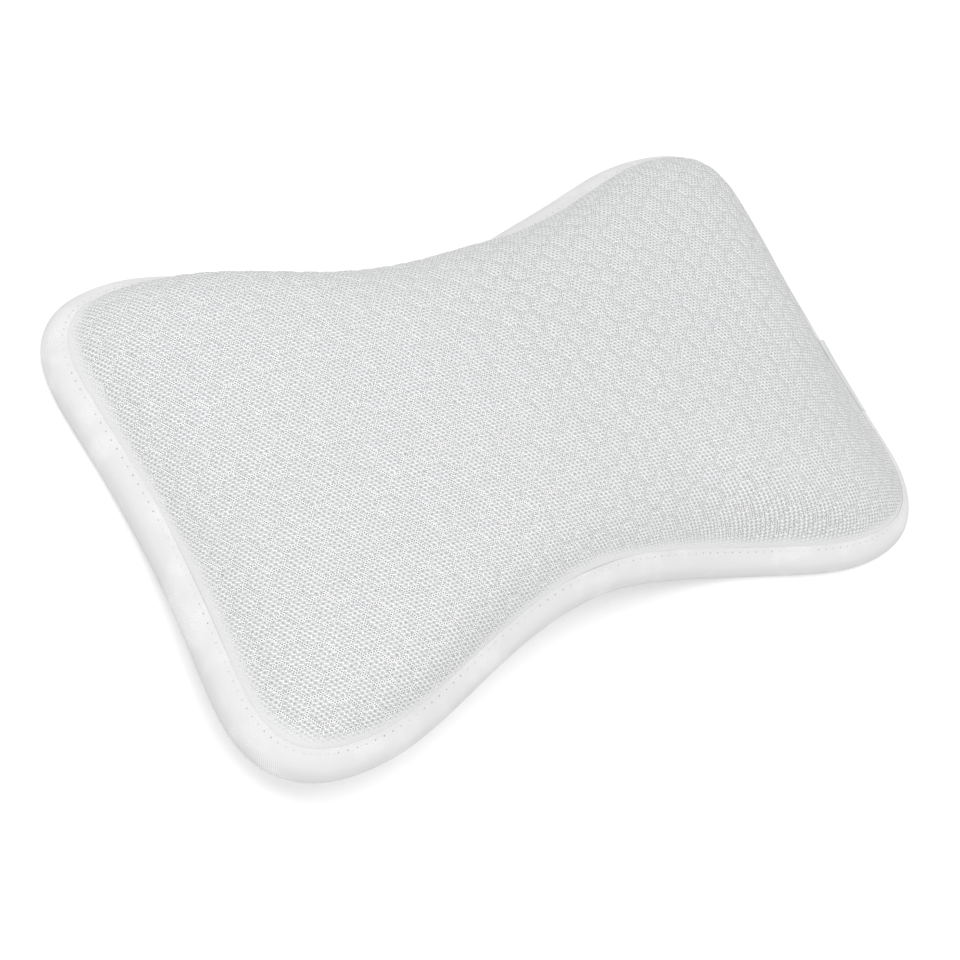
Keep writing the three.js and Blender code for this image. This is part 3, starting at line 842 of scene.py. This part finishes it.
def stitch_row(name, face):
    """Lockstitches: each a short bowed length of thread that dives into its needle holes at both ends."""
    sides, steps = 6, 9
    t = np.linspace(0, 1, steps)
    run = (np.arange(stitch_count)[:, None] + t[None, :]) * stitch_step
    angle_table, run_table, _ = edge_angles(4000)
    angle = np.interp(run, run_table, angle_table, period=edge_run)
    bow = np.sin(np.pi * t) ** 0.7
    off = nose_radius - stitch_sunk + stitch_bow * bow
    radius = thread_radius * (0.55 + 0.45 * bow)
    turn = np.linspace(0, TURN, sides, endpoint=False)
    along_ring = stitch_along + radius[None, :, None] * np.cos(turn)
    off_ring = face * (off[None, :, None] + radius[None, :, None] * np.sin(turn))
    points = strip_points(*np.broadcast_arrays(angle[..., None], along_ring, off_ring))
    faces = thread_faces(stitch_count, steps, sides)
    piece = make_piece(name, points.reshape(-1, 3), faces, sewing_thread)
    flat = np.stack(np.broadcast_arrays(run[..., None], turn * thread_radius), -1)
    cloth_map(piece, flat.reshape(-1, 2))
    return face_outwards(piece)


for row_name, row_face in (("edge_stitches_top", 1), ("edge_stitches_under", -1)):
    row = stitch_row(row_name, row_face)
    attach(row, "pillow")


lap_start, lap_end, lap_columns = -14 * MM, -54 * MM, 40
lap_thickness, lap_thinning = 1.6 * MM, 0.93
lap_reach = reach - 0.6 * MM


def tape_lap():
    """The lap: the tape's folded end laid over the binding for a short way on the right end, thick at its
    upper end and thinner at its lower one, with both ends closed."""
    inner = nose_radius + touch
    section = tape_section(inner + lap_thickness, inner, lap_reach)
    table = np.linspace(-0.6, 0.0, 400)
    angle = np.interp(np.linspace(lap_end, lap_start, lap_columns), edge_at(table)[0][:, 1], table)
    along, off, side = (section[:, i][:, None] for i in range(3))
    thinning = lap_thinning * lap_thickness / (inner + lap_thickness) * np.linspace(1, 0, lap_columns)
    thinner = 1 - side * thinning
    along_here = np.where(along < 0, along * thinner, along)
    off_here = tape_off(along_here, off * thinner, 1.0, angle * half_end)
    points = strip_points(np.broadcast_to(angle, off_here.shape), along_here, off_here)
    faces = [grid_faces(*off_here.shape, close_rows=True)]
    piece = make_piece("binding_tape_lap", points.reshape(-1, 3), faces, tape_knit)
    flat = np.stack(np.broadcast_arrays(angle[None, :] * half_end, round_section(section)[:, None]), -1)
    cloth_map(piece, flat.reshape(-1, 2))
    # At the full reach the whole lap takes the tape's darkest tone, the painted shade of its nose.
    point_value(piece, "off_stitches", np.full(off_here.size, reach))
    return close_ends(piece)


def close_ends(piece):
    """Fills the open ends of a piece and turns its faces outwards."""
    work = bmesh.new()
    work.from_mesh(piece.data)
    bmesh.ops.holes_fill(work, edges=[e for e in work.edges if e.is_boundary])
    bmesh.ops.triangulate(work, faces=[f for f in work.faces if len(f.verts) > 4])
    bmesh.ops.recalc_face_normals(work, faces=work.faces)
    work.to_mesh(piece.data)
    work.free()
    return piece


lap = tape_lap()
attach(lap, "pillow")
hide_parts("binding_lap")


# Cups and straps

cup_radius = 21 * MM
tab_reach, tab_width = 7 * MM, 9 * MM
tab_from, tab_full, tab_top, tab_rise = 19.8 * MM, 20.9 * MM, 1.2 * MM, 0.35 * MM
# Half profile of a cup, radius and height: up the hollow's dome, round the lip, and over the back to the head
cup_profile = MM * np.array([
    [0.0, 6.8], [3.0, 6.7], [5.5, 6.2], [9.0, 5.0], [13.2, 3.2], [16.2, 1.5], [18.0, 0.3], [18.6, 0.0],
    [20.7, 0.0], [21.0, 0.25], [21.0, 0.7], [20.6, 0.95], [18.6, 1.7], [14.6, 4.5], [10.2, 6.9], [7.0, 8.4],
    [5.6, 9.05], [4.4, 9.3], [3.4, 9.5], [3.2, 9.8], [3.2, 10.8], [3.6, 11.0], [6.0, 11.0], [6.45, 11.2],
    [6.5, 11.5], [6.2, 12.2], [5.4, 12.8], [3.0, 13.0], [0.0, 13.0],
])


def even_profile(points, count):
    """A profile's points spaced evenly along it."""
    run = np.concatenate([[0], np.cumsum(np.hypot(*np.diff(points, axis=0).T))])
    even = np.linspace(0, run[-1], count)
    return np.stack([np.interp(even, run, points[:, i]) for i in (0, 1)], -1)


def cup_piece(name, centre):
    """A cup: its half profile turned about its axis, its rim drawn out to a rounded tab on its +X side."""
    profile = even_profile(cup_profile, 96)
    turn = np.linspace(0, TURN, 128, endpoint=False)
    radius, height = profile[1:-1, 0][:, None], profile[1:-1, 1][:, None]
    tab_edge = np.clip(tab_width / 2 - np.abs(cup_radius * np.sin(turn)), 0, None) * (np.cos(turn) > 0)
    draw = np.sqrt(np.clip(1 - (1 - tab_edge / (tab_width / 2)) ** 2, 0, 1)) * tab_reach
    at_rim = soft_step(radius, tab_from, tab_full) * (height < tab_top)
    around = radius + at_rim * draw[None, :]
    thick = height + at_rim * (draw[None, :] > 0) * np.where(height > 0.5 * MM, tab_rise, 0.0)
    x, y = centre[0] + around * np.cos(turn), centre[1] + around * np.sin(turn)
    z = np.broadcast_to(thick, x.shape)
    points = np.stack([x, y, z], -1)
    rows, columns = x.shape
    low = [centre[0], centre[1], profile[0, 1]]
    high = [centre[0], centre[1], profile[-1, 1]]
    ring = np.arange(columns)
    last = (rows - 1) * columns + ring
    faces = [
        grid_faces(rows, columns, close_columns=True),
        fan_faces(ring, rows * columns)[:, ::-1], fan_faces(last, rows * columns + 1),
    ]
    points = np.concatenate([points.reshape(-1, 3), [low, high]])
    return face_outwards(make_piece(name, points, faces, clear_plastic))


strap_half_length, strap_half_width = 22 * MM, 13 * MM
strap_low, strap_high = 9.5 * MM, 10.7 * MM
strap_hole, strap_edge = 3.5 * MM, 0.25 * MM
seam_from_middle, seam_half_width, seam_zigzag = 18 * MM, 11 * MM, 0.9 * MM


def strap_piece(name, centre):
    """A holed webbing strap: rings from the hole's edge out to the strap's rounded rectangle, a curve of the
    ninth power, below and then back above."""
    rings, power = 14, 9
    turn = np.linspace(0, TURN, 160, endpoint=False)
    across, up = np.abs(np.cos(turn) / strap_half_length), np.abs(np.sin(turn) / strap_half_width)
    rectangle = (across ** power + up ** power) ** (-1 / power)
    out = np.linspace(0, 1, rings) ** 1.2
    reach_out = strap_hole + (rectangle[None, :] - strap_hole) * out[:, None]
    sides = [strap_low + strap_edge, strap_high - strap_edge]
    level = np.concatenate([np.full(rings, strap_low), sides, np.full(rings, strap_high), sides[::-1]])
    outer_side = [rectangle + strap_edge] * 2
    hole_side = [np.full(len(turn), strap_hole - 0.1 * MM)] * 2
    grow = np.concatenate([reach_out, outer_side, reach_out[::-1], hole_side])
    x, y = centre[0] + grow * np.cos(turn), centre[1] + grow * np.sin(turn)
    points = np.stack([x, y, np.broadcast_to(level[:, None], x.shape)], -1)
    rows, columns = x.shape
    piece = make_piece(name, points.reshape(-1, 3), [grid_faces(rows, columns, True, True)], webbing)
    cloth_map(piece, points[..., :2].reshape(-1, 2))
    seam = np.exp(-((np.abs(x - centre[0]) - seam_from_middle) / (0.8 * MM)) ** 2)
    point_value(piece, "needle", seam * (np.abs(y - centre[1]) < seam_half_width))
    return face_outwards(piece)


def bar_tack(name, centre):
    """Dense zigzag of thread across both ends of a strap, a triangle wave, which sews it to the underside."""
    turns, steps, sides = 16, 8, 6
    t = np.linspace(0, 1, turns * steps)
    zigzag = seam_zigzag * (2 / np.pi) * np.arcsin(np.sin(t * TURN * turns))
    y = centre[1] + (t - 0.5) * 20 * MM
    centreline = np.stack([
        np.stack([centre[0] + end * seam_from_middle + zigzag, y, np.full(len(t), strap_low - 0.12 * MM)], -1)
        for end in (-1, 1)
    ])
    ahead = np.gradient(centreline, axis=1)
    ahead /= np.linalg.norm(ahead, axis=-1, keepdims=True)
    sideways = np.stack([-ahead[..., 1], ahead[..., 0], ahead[..., 2] * 0], -1)
    turn = np.linspace(0, TURN, sides, endpoint=False)
    ring = sideways[:, :, None] * np.cos(turn)[:, None] + np.array([0, 0, 1.0]) * np.sin(turn)[:, None]
    points = centreline[:, :, None] + tack_radius * ring
    piece = make_piece(name, points.reshape(-1, 3), thread_faces(2, len(t), sides), sewing_thread)
    along = np.broadcast_to(t[None, :, None] * tack_length, points.shape[:3])
    flat = np.stack([along, np.broadcast_to(turn * tack_radius, along.shape)], -1)
    cloth_map(piece, flat.reshape(-1, 2))
    return face_outwards(piece)


for number, centre in enumerate(cup_centres, 1):
    cup = cup_piece(f"soft_cup_{number}", centre)
    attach(cup, f"cup_{number}")
    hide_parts(f"suction_cup_{number}")
    strap = strap_piece(f"strap_{number}", centre)
    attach(strap, "pillow")
    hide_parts(f"cup_strap_{number}")
    tack = bar_tack(f"strap_tacks_{number}", centre)
    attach(tack, "pillow")


# Floor, light and camera

floor_gap, floor_glow = 0.2 * MM, 0.33


def studio_floor():
    """A wide plain pale floor, white to the camera, that keeps the pillow's soft shadow. It lies just below
    the cups' rims, which would otherwise share its plane."""
    f = Finish("studio_floor")
    f.coat(f.blend(f.speckle(3.0), colour(230, 230, 230), colour(232, 232, 232)), 0.9)
    f.shader.inputs["Specular IOR Level"].default_value = 0.0
    glow = f.node("ShaderNodeEmission")
    seen = f.node("ShaderNodeLightPath").outputs["Is Camera Ray"]
    f.feed(glow.inputs["Strength"], f.sum("MULTIPLY", seen, floor_glow))
    both = f.node("ShaderNodeAddShader")
    f.tree.links.new(f.shader.outputs[0], both.inputs[0])
    f.tree.links.new(glow.outputs[0], both.inputs[1])
    f.tree.links.new(both.outputs[0], f.tree.nodes["Material Output"].inputs["Surface"])
    side = np.linspace(-3, 3, 5)
    x, y = np.meshgrid(side, side)
    points = np.stack([x, y, x * 0 - floor_gap], -1).reshape(-1, 3)
    floor = make_piece("studio_floor", points, [grid_faces(5, 5)], f.material, smooth=False)


studio_floor()


def soft_light(name, place, size, watts):
    """A round soft lamp that looks at the pillow's middle."""
    lamp = bpy.data.lights.new(name, "AREA")
    lamp.shape = "DISK"
    lamp.size = size
    lamp.energy = watts
    holder = bpy.data.objects.new(name, lamp)
    holder.location = place
    holder.rotation_euler = (-Vector(place)).to_track_quat("-Z", "Y").to_euler()
    bpy.context.scene.collection.objects.link(holder)


soft_light("overhead_softbox", (0, 0, 1.9), 1.4, 9.3)
soft_light("window_softbox", (-1.0, 1.2, 1.6), 1.2, 8.7)
soft_light("front_left_softbox", (-1.2, -1.2, 1.2), 1.2, 7.0)
soft_light("front_softbox", (0.3, -1.6, 0.9), 1.2, 2.6)


def white_world(strength):
    """An even white world, of full strength to the camera and of the given one as light."""
    world = bpy.data.worlds.new("studio")
    bpy.context.scene.world = world
    world.use_nodes = True
    tree = world.node_tree
    seen = tree.nodes.new("ShaderNodeMapRange")
    tree.links.new(tree.nodes.new("ShaderNodeLightPath").outputs["Is Camera Ray"], seen.inputs["Value"])
    seen.inputs["To Min"].default_value = strength
    seen.inputs["To Max"].default_value = 1.0
    tree.links.new(seen.outputs[0], tree.nodes["Background"].inputs["Strength"])
    tree.nodes["Background"].inputs["Color"].default_value = (1, 1, 1, 1)


white_world(0.665)

# The camera: where it looks from, its turn about its line of sight, and its focal length in frame widths
camera_azimuth, camera_height, camera_roll = -1.0606, 0.9419, 0.6363
camera_distance = 734.3 * MM
aim_across, aim_up = 17.50 * MM, 27.07 * MM
focal_share = 1615.8 / 960
sensor_width = 36


def place_camera():
    """The camera stands back from the middle of the edge's plane, and is moved sideways by the two aims."""
    level = np.array([np.cos(camera_azimuth), np.sin(camera_azimuth), 0])
    outwards = np.array([level[1], -level[0], 0])
    back = outwards * np.cos(camera_height) + np.array([0, 0, np.sin(camera_height)])
    upright = np.cross(back, level)
    right = np.cos(camera_roll) * level + np.sin(camera_roll) * upright
    up = np.cos(camera_roll) * upright - np.sin(camera_roll) * level
    where = camera_distance * back - aim_across * right - aim_up * up + np.array([0, 0, lobe_nose])
    data = bpy.data.cameras.new("camera")
    data.sensor_width = sensor_width
    data.lens = sensor_width * focal_share
    data.clip_end = 20
    camera = bpy.data.objects.new("camera", data)
    turn = np.eye(4)
    turn[:3, 0], turn[:3, 1], turn[:3, 2], turn[:3, 3] = right, up, back, where
    camera.matrix_world = Matrix(turn.tolist())
    bpy.context.scene.collection.objects.link(camera)
    bpy.context.scene.camera = camera


place_camera()
bpy.context.scene.view_settings.view_transform = "Standard"
